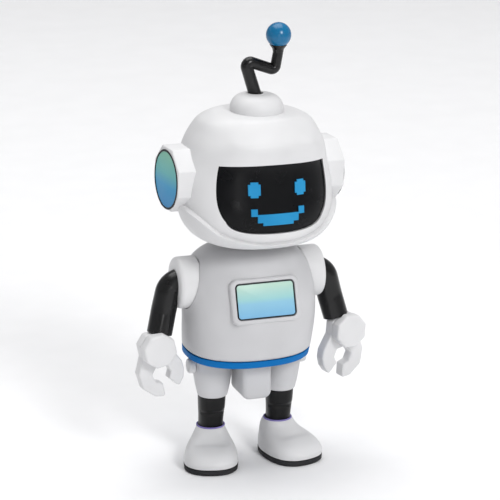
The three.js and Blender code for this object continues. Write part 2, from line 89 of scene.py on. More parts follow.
# Height z, centre y, half-width and half-depth of each section.
BODY = [
    (22.5, 1.3, 12.55, 11.7), (26, 0.4, 12.9, 12), (31, -0.6, 13.15, 12.2), (35, -0.8, 13.2, 11.7),
    (39, -0.6, 12.8, 10.6), (42.3, -0.3, 11.8, 9.2), (44.4, -0.2, 9.8, 7.4), (45.4, -0.2, 7.6, 5.6),
    (45.7, -0.2, 5.8, 4.4),
]
HEAD = [
    (-12.5, -3.2, 7, 6.2), (-11.9, -3.4, 9.4, 8.2), (-10.5, -3.6, 12, 10), (-8, -3.4, 14.2, 11.2),
    (-5, -2.2, 15.5, 12.5), (-1, -1, 15.8, 13.1), (4, -1, 14.7, 12.5), (7.5, -1.45, 13.75, 12.05),
    (10, -1.45, 12.5, 10.85), (12, -1.6, 11.15, 9.2), (13.1, -1.8, 9, 7.8), (13.5, -1.75, 6.4, 5.95),
]
SHOE = [
    (1.2, -3.5, 5.3, 7.6), (2.4, -3.5, 5.3, 7.6), (3.6, -3, 5, 7), (4.5, -2, 4.5, 6), (5.3, -0.6, 4, 4.5),
    (6.2, 0, 3.5, 3.7), (7, 0.1, 3.15, 3.1),
]
SIDES = (("right", -1), ("left", 1))


def spin(axis, degrees):
    return Matrix.Rotation(math.radians(degrees), 4, axis)


def shift(x=0, y=0, z=0):
    return Matrix.Translation((x, y, z))


FIGURE = shift(0, MIDDLE_Y, 0)
SCREEN_PLACE = shift(0, SCREEN_Y + MIDDLE_Y, SCREEN_Z) @ spin("X", -SCREEN_LEAN)
HEAD_PLACE = (shift(0, NECK_Y + MIDDLE_Y, NECK_Z) @ spin("Z", HEAD_TURN) @ spin("Y", HEAD_TILT)
              @ shift(0, 0, EAR_HEIGHT))


# ---- lines ---------------------------------------------------------------------------------
def smooth_step(t):
    t = min(max(t, 0.0), 1.0)
    return t * t * (3 - 2 * t)


def spline(points, count):
    """Points along a centripetal Catmull-Rom curve."""
    points = [Vector(p) for p in points]
    ends = [2 * points[0] - points[1]] + points + [2 * points[-1] - points[-2]]
    line = []
    for i in range(count + 1):
        at = i / count * (len(points) - 1)
        k = min(int(at), len(points) - 2)
        t = at - k
        p0, p1, p2, p3 = ends[k:k + 4]
        d0, d1, d2 = [math.sqrt((b - a).length) for a, b in ((p0, p1), (p1, p2), (p2, p3))]
        m1 = ((p1 - p0) / d0 - (p2 - p0) / (d0 + d1) + (p2 - p1) / d1) * d1
        m2 = ((p2 - p1) / d1 - (p3 - p1) / (d1 + d2) + (p3 - p2) / d2) * d1
        line.append(p1 + m1 * t + (3 * (p2 - p1) - 2 * m1 - m2) * t ** 2
                    + (2 * (p1 - p2) + m1 + m2) * t ** 3)
    return line


def column(sections, count=80, by=0.0):
    """The sections as a fine list of (z, y, half-width, half-depth), grown by `by` all round."""
    low, high = sections[0][0], sections[-1][0]
    middle, stretch = (low + high) / 2, 1 + 2 * by / (high - low)
    grown = [(middle + (z - middle) * stretch, y, w + by, d + by) for z, y, w, d in sections]
    sizes = spline([(w, d, z) for z, y, w, d in grown], count)
    centres = spline([(0, y, z) for z, y, w, d in grown], count)
    return [(size.z, centre.y, size.x, size.y) for size, centre in zip(sizes, centres)]


def from_height(entries, low):
    """The part of a column above a height, starting exactly there."""
    above = [e for e in entries if e[0] > low + 0.02]
    below = entries[len(entries) - len(above) - 1]
    t = (low - below[0]) / (above[0][0] - below[0])
    return [tuple(a + (b - a) * t for a, b in zip(below, above[0]))] + above


def reach_at(c, s, squareness=SQUARENESS):
    """How far a rounded square reaches in a direction, for a half-width of 1."""
    return (abs(c) ** squareness + abs(s) ** squareness) ** (-1 / squareness)


def section(entry, around=AROUND, inset=0.0, squareness=SQUARENESS):
    """A ring of points round a (z, y, half-width, half-depth) entry."""
    z, y, w, d = entry
    points = []
    for i in range(around):
        c, s = math.cos(2 * math.pi * i / around), math.sin(2 * math.pi * i / around)
        reach = reach_at(c, s, squareness)
        points.append(Vector(((w - inset) * c * reach, y + (d - inset) * s * reach, z)))
    return points


def circle(radius, z, around=AROUND, y=0.0):
    if radius == 0:
        return [Vector((0, y, z))]
    return section((z, y, radius, radius), around, squareness=2)


def rounded(corners, closed=True, steps=6):
    """A line through (a, b, radius) corners, each rounded to its radius."""
    line = []
    for i, (a, b, radius) in enumerate(corners):
        here = Vector((a, b))
        if radius == 0 or (not closed and i in (0, len(corners) - 1)):
            line.append(here)
            continue
        back = (Vector(corners[i - 1][:2]) - here).normalized()
        on = (Vector(corners[(i + 1) % len(corners)][:2]) - here).normalized()
        half = back.angle(on) / 2
        centre = here + (back + on).normalized() * radius / math.sin(half)
        start, end = here + back * radius / math.tan(half), here + on * radius / math.tan(half)
        for k in range(steps + 1):
            arm = (start - centre).lerp(end - centre, k / steps)
            line.append(centre + arm.normalized() * radius)
    return line


def rectangle(width, height, radius):
    w, h = width / 2, height / 2
    return rounded([(-w, -h, radius), (w, -h, radius), (w, h, radius), (-w, h, radius)])


def octagon(radius, soft):
    angles = [(i + 0.5) * math.pi / 4 for i in range(8)]
    return rounded([(radius * math.cos(a), radius * math.sin(a), soft) for a in angles])


def bezier(p0, p1, p2, p3, steps=20):
    return [
        Vector(p0) * (1 - t) ** 3 + Vector(p1) * 3 * t * (1 - t) ** 2 + Vector(p2) * 3 * t * t * (1 - t)
        + Vector(p3) * t ** 3 for t in (i / steps for i in range(1, steps + 1))
    ]


# ---- solids --------------------------------------------------------------------------------
def made(bm, name="solid"):
    mesh = bpy.data.meshes.new(name)
    bm.to_mesh(mesh)
    bm.free()
    obj = bpy.data.objects.new(name, mesh)
    collection.objects.link(obj)
    return obj


def skin(rows, ring=False, place=None):
    """A closed skin over rows of points. A row of one point is a pole; a ring joins last to first."""
    bm = bmesh.new()
    grid = [[bm.verts.new(p) for p in row] for row in rows]
    for low, high in zip(grid, grid[1:] + (grid[:1] if ring else [])):
        count = max(len(low), len(high))
        for i in range(count):
            j = (i + 1) % count
            if len(low) == 1:
                bm.faces.new((low[0], high[j], high[i]))
            elif len(high) == 1:
                bm.faces.new((low[i], low[j], high[0]))
            else:
                bm.faces.new((low[i], low[j], high[j], high[i]))
    if not ring:
        for end in (grid[0], grid[-1]):
            if len(end) > 2:
                bm.faces.new(end)
    bmesh.ops.recalc_face_normals(bm, faces=bm.faces)
    if place:
        bmesh.ops.transform(bm, matrix=place, verts=bm.verts)
    return made(bm)


def turned(profile, place=None, around=96):
    """A solid of revolution about Z from (radius, height) points."""
    return skin([circle(r, z, around) for r, z in profile], place=place)


def rod(radius, start, end, around=64):
    """A cylinder between two points."""
    start, end = Vector(start), Vector(end)
    turn = Vector((0, 0, 1)).rotation_difference(end - start).to_matrix().to_4x4()
    return turned([(radius, 0), (radius, (end - start).length)], Matrix.Translation(start) @ turn, around)


def upright(outline, y):
    """An outline drawn in X and Z, stood up at a depth."""
    return [Vector((a, y, b)) for a, b in outline]


def prism(outline, front, back, place=None):
    """A solid between two depths, from an outline in X and Z."""
    return skin([upright(outline, front), upright(outline, back)], place=place)


def domed(outline_at, front, back, soft, place=None, steps=5):
    """A plate with both rims rounded: outline_at(inset) gives the outline at an inset."""
    turns = [math.pi / 2 * i / steps for i in range(steps + 1)]
    near = [(soft * (1 - math.sin(t)), front + soft * (1 - math.cos(t))) for t in turns]
    far = [(inset, front + back - y) for inset, y in reversed(near)]
    return skin([upright(outline_at(inset), y) for inset, y in near + far], place=place)


def tube(path, radii, facing=(0, 1, 0), around=48):
    """A round bar along a path, its ends closed."""
    rows = []
    for i, point in enumerate(path):
        along = (path[min(i + 1, len(path) - 1)] - path[max(i - 1, 0)]).normalized()
        a = (Vector(facing) - along * along.dot(Vector(facing))).normalized()
        b = along.cross(a)
        turns = [2 * math.pi * k / around for k in range(around)]
        rows.append([point + (a * math.cos(t) + b * math.sin(t)) * radii[i] for t in turns])
    return rows


def settle(obj):
    """Turns an object's modifiers into its mesh."""
    graph = bpy.context.evaluated_depsgraph_get()
    graph.update()
    obj.data = bpy.data.meshes.new_from_object(obj.evaluated_get(graph))
    obj.modifiers.clear()
    return obj


def carve(obj, *tools, how="DIFFERENCE"):
    for tool in tools:
        step = obj.modifiers.new(how, "BOOLEAN")
        step.operation, step.object, step.solver = how, tool, "EXACT"
    settle(obj)
    for tool in tools:
        bpy.data.objects.remove(tool)
    return obj


def soften(obj, width, segments=4, angle=35):
    step = obj.modifiers.new("rims", "BEVEL")
    step.width, step.segments, step.angle_limit = width, segments, math.radians(angle)
    step.use_clamp_overlap = False
    return settle(obj)


def finished(obj, name, body, material, nodes=(), sharp=32):
    """Names a piece, brings it to metres, gives it its material and ties it to its CAD body and nodes."""
    obj.name = obj.data.name = name
    obj.data.transform(Matrix.Scale(MM, 4))
    obj.data.materials.clear()
    obj.data.materials.append(material)
    obj.data.polygons.foreach_set("use_smooth", [True] * len(obj.data.polygons))
    obj.data.set_sharp_from_angle(angle=math.radians(sharp))
    obj.data.update()
    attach(obj, body)
    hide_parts(*(nodes or (name.removesuffix("_look"),)))
    return obj


# ---- materials -----------------------------------------------------------------------------
def linear(*rgb):
    """0 to 255 display values as linear colour."""
    return tuple((c / 255 / 12.92) if c < 11 else ((c / 255 + 0.055) / 1.055) ** 2.4 for c in rgb) + (1,)


def start_material(name):
    material = bpy.data.materials.new(name)
    material.use_nodes = True
    tree = material.node_tree
    shader = tree.nodes["Principled BSDF"]
    place = tree.nodes.new("ShaderNodeTexCoord").outputs["Object"]
    return material, tree, shader, place


def noise(tree, place, scale, detail=2.0):
    node = tree.nodes.new("ShaderNodeTexNoise")
    node.inputs["Scale"].default_value = scale
    node.inputs["Detail"].default_value = detail
    tree.links.new(place, node.inputs["Vector"])
    return node.outputs["Fac"]


def ranged(tree, value, low, high, start=0.3, end=0.7):
    node = tree.nodes.new("ShaderNodeMapRange")
    for socket, number in zip(("From Min", "From Max", "To Min", "To Max"), (start, end, low, high)):
        node.inputs[socket].default_value = number
    tree.links.new(value, node.inputs["Value"])
    return node.outputs["Result"]


def ramp(tree, value, stops):
    node = tree.nodes.new("ShaderNodeValToRGB")
    elements = node.color_ramp.elements
    for element, (at, colour) in zip(elements, (stops[0], stops[-1])):
        element.position, element.color = at, colour
    for at, colour in stops[1:-1]:
        elements.new(at).color = colour
    tree.links.new(value, node.inputs["Fac"])
    return node.outputs["Color"]


def surface(tree, shader, place, roughness, grain, depth):
    """Uneven gloss and a fine moulded grain."""
    uneven = noise(tree, place, 260.0)
    tree.links.new(ranged(tree, uneven, *roughness), shader.inputs["Roughness"])
    bump = tree.nodes.new("ShaderNodeBump")
    bump.inputs["Distance"].default_value = depth * MM
    bump.inputs["Strength"].default_value = 0.35
    tree.links.new(noise(tree, place, grain, 3.0), bump.inputs["Height"])
    tree.links.new(bump.outputs["Normal"], shader.inputs["Normal"])


def plastic(name, dark, light, roughness, grain=2200.0, depth=0.02, gloss=0.5):
    material, tree, shader, place = start_material(name)
    tone = ranged(tree, noise(tree, place, 90.0), 0.0, 1.0)
    tree.links.new(ramp(tree, tone, [(0.0, linear(*dark)), (1.0, linear(*light))]),
                   shader.inputs["Base Color"])
    surface(tree, shader, place, roughness, grain, depth)
    shader.inputs["Specular IOR Level"].default_value = gloss
    return material


def faded(name, low, high, stops, roughness):
    """A print whose colour runs through the stops from a low to a high point, given in metres."""
    material, tree, shader, place = start_material(name)
    run = Vector(high) - Vector(low)
    measure = tree.nodes.new("ShaderNodeVectorMath")
    measure.operation = "DOT_PRODUCT"
    measure.inputs[1].default_value = run / run.length_squared
    tree.links.new(place, measure.inputs[0])
    offset = Vector(low).dot(run) / run.length_squared
    height = ranged(tree, measure.outputs["Value"], 0.0, 1.0, offset, offset + 1)
    tree.links.new(ramp(tree, height, [(at, linear(*colour)) for at, colour in stops]),
                   shader.inputs["Base Color"])
    shader.inputs["Specular IOR Level"].default_value = 0.2
    surface(tree, shader, place, roughness, 1600.0, 0.01)
    return material


WHITE = plastic("white_plastic", (214, 214, 215), (224, 224, 225), (0.4, 0.52), gloss=0.35)
# The white plastic again, made darker as painted shade for the body, bezel, pelvis and thighs, which lie
# darker than the head.
SHADED_WHITE = plastic("shaded_white_plastic", (196, 196, 198), (205, 205, 207), (0.4, 0.52), gloss=0.35)
BLACK = plastic("black_plastic", (9, 9, 10), (15, 15, 16), (0.2, 0.3), 900.0, 0.03, 0.4)
SHIN_BLACK = plastic("shin_plastic", (11, 11, 12), (17, 17, 18), (0.28, 0.4), 900.0, 0.03, 0.25)
VISOR_BLACK = plastic("visor_gloss", (3, 4, 6), (6, 7, 10), (0.26, 0.34), 500.0, 0.01, 0.18)
LINE_BLACK = plastic("line_print", (22, 26, 30), (34, 38, 42), (0.45, 0.55), gloss=0.2)
BLUE = plastic("blue_paint", (0, 104, 174), (2, 112, 184), (0.5, 0.6), gloss=0.12)
BALL_BLUE = plastic("ball_paint", (0, 98, 142), (6, 108, 156), (0.2, 0.28), 900.0, 0.02, 0.45)
CYAN = plastic("lit_print", (28, 130, 184), (46, 148, 200), (0.45, 0.55), gloss=0.15)
PURPLE = plastic("purple_paint", (124, 114, 178), (136, 126, 188), (0.5, 0.6), gloss=0.2)
SOLE = plastic("sole_rubber", (36, 36, 38), (48, 48, 50), (0.6, 0.75), 1500.0, 0.05, 0.25)
HIDDEN_WHITE = plastic("inner_plastic", (200, 201, 202), (210, 211, 212), (0.45, 0.55), gloss=0.35)


def brushed_steel():
    material, tree, shader, place = start_material("axle_steel")
    shader.inputs["Metallic"].default_value = 1.0
    tone = ranged(tree, noise(tree, place, 700.0), 0.0, 1.0)
    tree.links.new(ramp(tree, tone, [(0.0, linear(150, 152, 156)), (1.0, linear(176, 178, 182))]),
                   shader.inputs["Base Color"])
    surface(tree, shader, place, (0.28, 0.4), 3000.0, 0.01)
    return material


STEEL = brushed_steel()


# ---- body ----------------------------------------------------------------------------------
def build_body():
    """The casing with its shoulder pockets and screen window, and the hem band under it."""
    outer = from_height(column(BODY), CASING_LOW)
    inner = from_height(column(BODY, by=-WALL), CASING_LOW)
    top, edge, collar, collar_edge = BODY[-1][0], 0.25, 2.0, 0.2
    rim = (CASING_LOW + edge, *outer[0][1:])
    rows = [section(outer[0], inset=edge), section(rim)] + [section(e) for e in outer if e[0] > rim[0]]
    neck_hole = ((collar + collar_edge, top), (collar, top - collar_edge), (collar, inner[-1][0]))
    rows += [circle(radius, z, y=NECK_Y) for radius, z in neck_hole]
    rows += [section(e) for e in reversed(inner)]
    casing = skin(rows, ring=True, place=FIGURE)
    pockets = [
        rod(SHOULDER_RADIUS + GAP, (s * (SHOULDER_BACK - GAP), MIDDLE_Y, SHOULDER_Z),
            (s * FAR, MIDDLE_Y, SHOULDER_Z), around=96) for side, s in SIDES
    ]
    lap = 0.6                    # how much smaller the window is than the bezel that covers it
    window = prism(rectangle(BEZEL_WIDTH - lap, BEZEL_HEIGHT - lap, 1.0), -4, 4, SCREEN_PLACE)
    carve(casing, *pockets, window)
    finished(casing, "body_casing", "torso", SHADED_WHITE, ("torso_front", "torso_back"))

    soft_low, soft_top = 0.2, 0.12
    band = [
        (HEM_Z, soft_low), (HEM_Z + soft_low, 0.0), (HEM_TOP - soft_top, 0.0), (HEM_TOP, soft_top),
        (HEM_TOP, WALL), (HEM_Z, WALL),
    ]
    entries, above = column(BODY), 0.001         # a hair above, to stay inside the column
    rows = [section(from_height(entries, z + above)[0], inset=inset) for z, inset in band]
    finished(skin(rows, ring=True, place=FIGURE), "hem_band_look", "torso", BLUE)


def build_screen():
    """The raised bezel, the thin black line round the screen, and the printed panel."""
    turns = [math.pi / 2 * i / 5 for i in range(6)]
    outer, inner, top, buried, sunk = 0.55, 0.2, -BEZEL_PROUD, 1.6, 0.1
    # How far in, from 0 at the outside to 1 at the opening, and how deep.
    profile = [(0, buried)]
    profile += [(outer * (1 - math.cos(t)), top + outer * (1 - math.sin(t))) for t in turns]
    profile += [(1 - inner * (1 - math.sin(t)), top + inner * (1 - math.cos(t))) for t in turns]
    profile += [(1, sunk), (1, buried)]
    rows = [upright(rectangle(BEZEL_WIDTH - 2 * t, BEZEL_HEIGHT - 1.8 * t, 1.5 - 0.6 * t), y)
            for t, y in profile]
    bezel = skin(rows, ring=True, place=SCREEN_PLACE)
    finished(bezel, "screen_bezel_look", "torso", SHADED_WHITE)

    # How much wider than the screen, and how deep.
    shoulder, face = -0.42, -0.5
    line = [(0.7, sunk), (0.7, shoulder), (0.62, face), (0.38, face), (0.3, shoulder), (0.3, sunk)]
    rows = [upright(rectangle(SCREEN_WIDTH + t, SCREEN_HEIGHT + t, 0.5 + t / 2), y) for t, y in line]
    outline = skin(rows, ring=True, place=SCREEN_PLACE)
    finished(outline, "screen_frame_look", "torso", LINE_BLACK)

    width, height, front, soft = SCREEN_WIDTH + 0.26, SCREEN_HEIGHT + 0.26, -0.48, 0.06
    panel = domed(lambda inset: rectangle(width - 2 * inset, height - 2 * inset, 0.55),
                  front, 0.0, soft, SCREEN_PLACE, steps=2)
    low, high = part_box("screen_panel")
    colours = [(0.02, (128, 184, 220)), (0.42, (146, 198, 222)), (0.56, (160, 210, 212)),
               (0.95, (188, 220, 206))]
    glass = faded("screen_print", (0, 0, low.z), (0, 0, high.z), colours, (0.3, 0.4))
    finished(panel, "screen_panel_look", "torso", glass)


def build_pelvis():
    """The block between the thighs, with both rims rounded."""
    low, high, width, front, back, corner, soft = 14.5, 27, 6.1, -6.8, 1.9, 1.5, 1.1
    block = domed(lambda inset: rectangle(width - 2 * inset, high - low - 2 * inset, corner - inset),
                  front, back, soft, FIGURE @ shift(0, 0, (low + high) / 2))
    finished(block, "pelvis_block_look", "torso", SHADED_WHITE)


# ---- head ----------------------------------------------------------------------------------
def visor_outline(margin=0.0):
    w, top, low = 10.9 + margin, 4.7 + margin, -8.3 - margin
    brow = [Vector((w * (2 * t - 1), top + 1.2 * t * (1 - t))) for t in (i / 30 for i in range(31))]
    right = bezier((w, top), (w + 1, top - 5), (w + 1, top - 8.5), (w - 0.8, low + 2.6))
    under = bezier((w - 0.8, low + 2.6), (w - 1.6, low + 0.5), (w - 5, low), (0, low))
    half = right + under
    return brow + half + [Vector((-p.x, p.y)) for p in reversed(half[:-1])]


def guard_seam(x):
    """Height of the chin guard's upper seam at a distance from the middle."""
    line = [(0, -10.4), (3, -10.35), (5.6, -9.9), (8.4, -9.2), (10.8, -8.2), (12.6, -6.7), (14.4, -5),
            (16.6, -2.9), (20, -1.9)]
    for (x0, z0), (x1, z1) in zip(line, line[1:]):
        if abs(x) <= x1:
            return z0 + (z1 - z0) * (abs(x) - x0) / (x1 - x0)
    return line[-1][1]


def brow_swell(point):
    """How far the forehead's edge stands out over the visor."""
    ridge, spread, half_width, fade, swell, front = 8.8, 1.4, 7.5, 3, 0.55, -4
    height = math.exp(-((point.z - ridge) / spread) ** 2)
    width = 1 - smooth_step((abs(point.x) - half_width) / fade)
    return swell * height * width if point.y < front else 0.0


def build_helmet():
    """The shell with its neck hole and visor opening, and the visor that fills the opening."""
    outer = [section(e) for e in column(HEAD, 100)]
    for row in outer:
        for point in row:
            point.y -= brow_swell(point)
    inner = [section(e) for e in column(HEAD, 60, -WALL)]
    low, floor, hole, hole_edge = HEAD[0][0], inner[0][0].z, 4.4, 0.2
    neck_hole = [circle(hole, floor), circle(hole, low + hole_edge), circle(hole + hole_edge, low)]
    crown, ceiling = [Vector((0, ANTENNA_Y, HEAD[-1][0]))], [Vector((0, 0, inner[-1][0].z))]
    rows = [ceiling] + inner[::-1] + neck_hole + outer + [crown]
    shell = carve(skin(rows), prism(visor_outline(GAP), AHEAD, -1))
    shell.data.transform(HEAD_PLACE)
    finished(shell, "helmet", "head", WHITE, ("helmet_front", "helmet_back"))

    sunk = 0.3
    lens = carve(skin([section(e) for e in column(HEAD, 100, -sunk)]),
                 skin([section(e) for e in column(HEAD, 60, -WALL)]))
    carve(lens, prism(visor_outline(), AHEAD, -2), how="INTERSECT")
    lens.data.transform(HEAD_PLACE)
    finished(lens, "visor_look", "head", VISOR_BLACK)


def build_chin_guard():
    """A raised band whose rims sink softly into the helmet."""
    low, high, heights, around = HEAD[0][0] + 0.05, -1.6, 110, 420
    spread, proud, sunk = math.radians(196), 1.35, 0.3
    lip, ends_y, end_fade, foot_fade = 0.34, -2.3, 0.7, 0.9
    entries = column(HEAD, 200)
    grid = []
    for i in range(heights + 1):
        z, y, w, d = from_height(entries, low + (high - low) * i / heights)[0]
        row = []
        for k in range(around + 1):
            t = -math.pi / 2 - spread / 2 + spread * k / around
            c, s = math.cos(t), math.sin(t)
            reach = reach_at(c, s)
            point = Vector((w * c * reach, y + d * s * reach, z))
            outward = Vector((c * reach / w, s * reach / d, 0)).normalized()
            under_seam = (guard_seam(point.x) - z) * 0.8
            rise = smooth_step(under_seam / lip) * smooth_step((ends_y - point.y) / end_fade)
            rise *= smooth_step((z - low) / foot_fade + 0.35)
            row.append((point + outward * (rise * proud - sunk), rise))
        grid.append(row)
    bm = bmesh.new()
    verts = [[bm.verts.new(p) for p, rise in row] for row in grid]
    for i in range(heights):
        for k in range(around):
            if max(grid[a][b][1] for a in (i, i + 1) for b in (k, k + 1)) > 0:
                bm.faces.new((verts[i][k], verts[i][k + 1], verts[i + 1][k + 1], verts[i + 1][k]))
    bmesh.ops.delete(bm, geom=[v for v in bm.verts if not v.link_faces], context="VERTS")
    guard = made(bm)
    step = guard.modifiers.new("thickness", "SOLIDIFY")
    step.thickness, step.offset = 0.4, -1
    settle(guard).data.transform(HEAD_PLACE)
    finished(guard, "chin_guard_look", "head", WHITE, sharp=60)


def mark(name, outline):
    """A thin plate that follows the visor, cut to an outline."""
    thickness = 0.26
    plate = carve(skin([section(e) for e in column(HEAD, 80)]),
                  skin([section(e) for e in column(HEAD, 80, -thickness)]))
    carve(plate, prism(outline, AHEAD, -2), how="INTERSECT")
    plate.data.transform(HEAD_PLACE)
    finished(plate, f"{name}_look", "head", CYAN)


def build_face():
    """Two stepped ovals and a stepped smile."""
    across, up, w, h, step = 4.85, 0.4, 1.2, 1.5, 0.45
    quarter = [(w - step, -h), (w - step, step - h), (w, step - h), (w, h - step), (w - step, h - step),
               (w - step, h)]
    for side, s in SIDES:
        half = [(s * across + a, up + b) for a, b in quarter]
        mark(f"eye_{side}", half + [(2 * s * across - a, b) for a, b in reversed(half)])
    half = [(3.2, -6.6), (3.2, -6), (4.3, -6), (4.3, -4.7), (5.6, -4.7), (5.6, -3.3), (4.35, -3.3),
            (4.35, -4.4)]
    mark("smile", half + [(-x, z) for x, z in reversed(half)])


def build_ears():
    """Each ear: an octagonal pod, a printed disc and the thin black rim round it."""
    root, base, dome, edge = 8, 17.4, 0.12, 0.1
    for side, s in SIDES:
        place = HEAD_PLACE @ shift(0, 0, POD_RISE) @ spin("Z", s * 90)
        pod = domed(lambda inset: octagon(EAR_RADIUS - 1.08 * inset, 0.5 - 0.5 * inset),
                    -EAR_FACE, -root, 0.3, place)
        finished(pod, f"ear_pod_{side}_look", "head", WHITE)
        out = HEAD_PLACE @ shift(0, 0, DISC_RISE) @ spin("Y", s * 90)
        crown = [(DISC_RADIUS * k / 8, DISC_FACE + dome * (1 - (k / 8) ** 2)) for k in range(8, -1, -1)]
        disc = turned([(0, base), (DISC_RADIUS, base), (DISC_RADIUS, DISC_FACE - edge)] + crown, out, ROUND)
        low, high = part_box(f"ear_disc_{side}")
        middle = (low + high) / 2
        colours = [(0.05, (24, 130, 190)), (0.4, (44, 150, 198)), (0.62, (98, 180, 182)),
                   (0.95, (126, 190, 168))]
        fade = faded(f"ear_print_{side}", (middle.x, middle.y, low.z), (middle.x, middle.y, high.z),
                     colours, (0.32, 0.42))
        finished(disc, f"ear_disc_{side}_look", "head", fade)
        inner = DISC_RADIUS + 0.04
        line = [
            (inner, base), (inner, DISC_FACE), (inner + edge, DISC_FACE + edge),
            (RIM_RADIUS - edge, DISC_FACE + edge), (RIM_RADIUS, DISC_FACE), (RIM_RADIUS, base),
        ]
        rim = skin([circle(r, z, ROUND) for r, z in line], ring=True, place=out)
        finished(rim, f"ear_ring_{side}_look", "head", LINE_BLACK)


def build_antenna():
    """The boss on the crown, and the bent stalk with a cup and a ball on its end."""
    place = HEAD_PLACE @ shift(0, ANTENNA_Y, 0)
    root, rim, bore_low, bore_high = 10, 2.8, 14, 18
    profile = rounded([(0, root, 0), (BOSS_RADIUS, root, 0), (BOSS_RADIUS, BOSS_TOP, rim), (0, BOSS_TOP, 0)],
                      closed=False, steps=12)
    boss = turned(profile, HEAD_PLACE @ shift(0, BOSS_Y, 0), ROUND)
    carve(boss, turned([(ANTENNA_BORE, bore_low), (ANTENNA_BORE, bore_high)], place))
    finished(boss, "antenna_boss_look", "head", WHITE)

    end, end_z, spacing, thick, thin = 4.6, 8, 0.6, 1.36, 1.02
    route = [(0, -3.3, 0), (0, 0, 0.9), (-2.5, 7.1, 0.75), (4, 4.8, 0.75), (end, end_z + 0.3, 0)]
    bends = rounded(route, closed=False, steps=10)
    path = []
    for a, b in zip(bends, bends[1:]):
        count = max(1, int((b - a).length / spacing))
        path += [a.lerp(b, k / count) for k in range(count)]
    path = [Vector((a, 0, b + ANTENNA_BASE)) for a, b in path + [bends[-1]]]
    radii = [thick - (thick - thin) * i / len(path) for i in range(len(path))]
    stalk = skin(tube(path, radii), place=place)
    finished(stalk, "antenna_stalk_look", "head", BLACK, sharp=60)

    cup = rounded([(0, 0, 0), (0.98, 0, 0.15), (1.15, 0.9, 0.6), (1.75, 1.75, 0.12), (1.5, 1.95, 0.1),
                   (0, 1.95, 0)], closed=False)
    finished(turned(cup, place @ shift(end, 0, ANTENNA_BASE + end_z + 0.1)),
             "antenna_cup_look", "head", BLACK)
    radius, turns = 2.5, [math.pi * i / 40 for i in range(3, 41)]
    ball = [(0, -radius * math.cos(turns[0]))]
    ball += [(radius * math.sin(t), -radius * math.cos(t)) for t in turns[:-1]] + [(0, radius)]
    finished(turned(ball, place @ shift(end, 0, ANTENNA_BASE + end_z + 3.8)),
             "antenna_ball_look", "head", BALL_BLUE)


# ---- arms ----------------------------------------------------------------------------------
def along_wrist(s, t):
    """A point on the forearm's centre line, 0 at its start and 1 at its end."""
    start, end = [Vector((s * x, y, z)) for x, y, z in (WRIST_FROM, WRIST_TO)]
    return start.lerp(end, t)


def build_arm(side, s):
    """The round shoulder cap and the bent arm that comes out of its face."""
    cap = rounded([(0, SHOULDER_BACK, 0), (SHOULDER_RADIUS, SHOULDER_BACK, 0.2),
                   (SHOULDER_RADIUS, SHOULDER_FACE, 0.9), (0, SHOULDER_FACE, 0)], closed=False)
    place = FIGURE @ shift(0, 0, SHOULDER_Z) @ spin("Y", s * 90)
    finished(turned(cap, place, ROUND), f"shoulder_cap_{side}_look", f"{side}_arm", WHITE)

    start = Vector((s * 13.8, 0, SHOULDER_Z + 0.3))
    swing, steps, taper = math.radians(76), 120, 0.05
    elbow = [start + Vector((s * ELBOW_RADIUS * math.sin(t), 0, ELBOW_RADIUS * (math.cos(t) - 1)))
             for t in (swing * i / 20 for i in range(21))]
    path = elbow + [along_wrist(s, t) for t in (0, 0.25, 0.5, 0.75, 1.0, 1.12)]
    line = spline(path, steps)
    radii = [ARM_RADIUS - taper * (i / steps) for i in range(steps + 1)]
    radii[-2] -= 0.1             # softens the arm's end
    radii[-1] -= 0.35
    arm = skin(tube(line, radii, around=64), place=FIGURE)
    carve(arm, rod(1.2, FIGURE @ along_wrist(s, 0.35), FIGURE @ along_wrist(s, 2)))
    finished(arm, f"arm_{side}_look", f"{side}_arm", BLACK, sharp=45)


def claw_outline(opening):
    """A C whose opening is turned by some degrees, so that one finger is longer than the other."""
    middle, outer, inner = -5.7, 4.9, 2

    def at(radius, degrees, soft):
        t = math.radians(degrees)
        return (radius * math.sin(t), middle - radius * math.cos(t), soft)

    left = [at(outer, -105, 0.5), at(outer, -75 + opening / 2, 0.9), at(outer, -45 + opening, 0.9),
            at(outer, -20 + opening, 0.5)]
    hole = [at(inner, angle + opening, 0.4) for angle in (-22, -65, -115, -180, 115, 65, 22)]
    right = [at(outer, 20 + opening, 0.5), at(outer, 45 + opening, 0.9), at(outer, 75 + opening / 2, 0.9),
             at(outer, 105, 0.5)]
    crown = [(3.2, -1.2, 0.3), (3.2, 1.4, 0.5), (1.5, 3.1, 0.5), (-1.5, 3.1, 0.5), (-3.2, 1.4, 0.5),
             (-3.2, -1.2, 0.3)]
    return rounded(left + hole + right + crown, steps=4)


def build_hand(side, s):
    """An octagonal hub with the claw plate behind it, both cleared for the forearm and its peg."""
    out, lean, turn = HAND_POSE[side]
    place = FIGURE @ shift(s * out, HAND_Y, HAND_Z) @ spin("Z", turn) @ spin("Y", lean)
    front, thickness, seam, bore, room = -2.8, 2.6, 0.02, 1.4, 0.2
    hub = domed(lambda inset: octagon(HUB_RADIUS - 1.08 * inset, 0.6 - 0.5 * inset), front, front + thickness,
                0.5, place)
    claw = prism(claw_outline(-s * CLAW_OPENING), front + thickness + seam, front + 2 * thickness, place)
    soften(claw, 0.38)
    for piece, name in ((hub, f"hand_hub_{side}"), (claw, f"claw_{side}")):
        carve(piece,
              rod(bore, FIGURE @ along_wrist(s, 0.4), FIGURE @ along_wrist(s, 1.5)),
              rod(ARM_RADIUS + room, FIGURE @ along_wrist(s, -1), FIGURE @ along_wrist(s, 1.15)))
        finished(piece, f"{name}_look", f"{side}_hand", WHITE)


